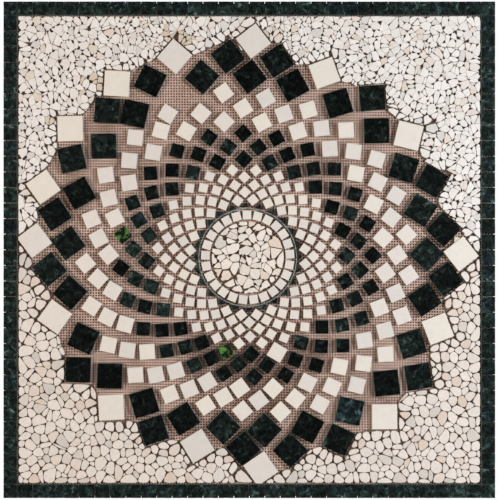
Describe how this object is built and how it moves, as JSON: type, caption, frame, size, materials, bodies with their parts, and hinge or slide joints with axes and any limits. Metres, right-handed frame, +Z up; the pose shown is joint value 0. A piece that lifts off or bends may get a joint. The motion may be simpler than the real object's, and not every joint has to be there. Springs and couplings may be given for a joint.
{
  "type": "mosaic wall panel",
  "caption": "Square marble mosaic panel: spiral rosette of square tiles on a net, crushed-marble corners and a dark green tile border, fixed to a wall by its flat back.",
  "frame": {"origin": "centre of the backing board's flat back face", "axes": "+Z up the panel, +X to the right as seen from the front, face looks toward -Y"},
  "size_m": [0.9, 0.0154, 0.909],
  "materials": {
    "green_marble": "satin",
    "cream_marble": "satin",
    "crushed_marble": "matte",
    "glass_fibre_net": "matte",
    "hardboard": "matte"
  },
  "bodies": {
    "root": {"backing_board": "hardboard", "border_bottom": "green_marble", "border_left": "green_marble", "border_right": "green_marble", "border_top": "green_marble", "centre_chips_disc": "crushed_marble", "centre_cream_squares": "cream_marble", "centre_green_liner_and_triangles": "green_marble", "chips_bottom_left": "crushed_marble", "chips_bottom_right": "crushed_marble", "chips_top_left": "crushed_marble", "chips_top_right": "crushed_marble", "glass_fibre_net": "glass_fibre_net", "odd_cream_tile": "cream_marble", "outer_cream_tile_03": "cream_marble", "outer_cream_tile_05": "cream_marble", "outer_cream_tile_13": "cream_marble", "outer_cream_tile_15": "cream_marble", "outer_cream_tile_17": "cream_marble", "outer_cream_tile_21": "cream_marble", "outer_cream_tile_23": "cream_marble", "outer_green_tile_01": "green_marble", "outer_green_tile_02": "green_marble", "outer_green_tile_04": "green_marble", "outer_green_tile_06": "green_marble", "outer_green_tile_07": "green_marble", "outer_green_tile_08": "green_marble", "outer_green_tile_09": "green_marble", "outer_green_tile_10": "green_marble", "outer_green_tile_11": "green_marble", "outer_green_tile_12": "green_marble", "outer_green_tile_14": "green_marble", "outer_green_tile_16": "green_marble", "outer_green_tile_18": "green_marble", "outer_green_tile_19": "green_marble", "outer_green_tile_20": "green_marble", "outer_green_tile_22": "green_marble", "outer_green_tile_24": "green_marble", "ring_01_small_cream_tiles": "cream_marble", "ring_02_small_cream_tiles": "cream_marble", "ring_03_small_cream_tiles": "cream_marble", "ring_04_small_cream_tiles": "cream_marble", "ring_05_small_cream_tiles": "cream_marble", "ring_06_small_green_tiles": "green_marble", "ring_07_small_green_tiles": "green_marble", "ring_08_small_green_tiles": "green_marble", "ring_09_medium_cream_tiles": "cream_marble", "ring_10_medium_cream_tiles": "cream_marble", "ring_11_medium_cream_tiles": "cream_marble", "ring_12_large_green_tiles": "green_marble", "tip_cream_tile_1": "cream_marble", "tip_cream_tile_2": "cream_marble", "tip_cream_tile_3": "cream_marble", "tip_cream_tile_4": "cream_marble", "tip_cream_tile_5": "cream_marble", "tip_cream_tile_6": "cream_marble", "tip_cream_tile_7": "cream_marble", "tip_cream_tile_8": "cream_marble"}
  },
  "joints": []
}
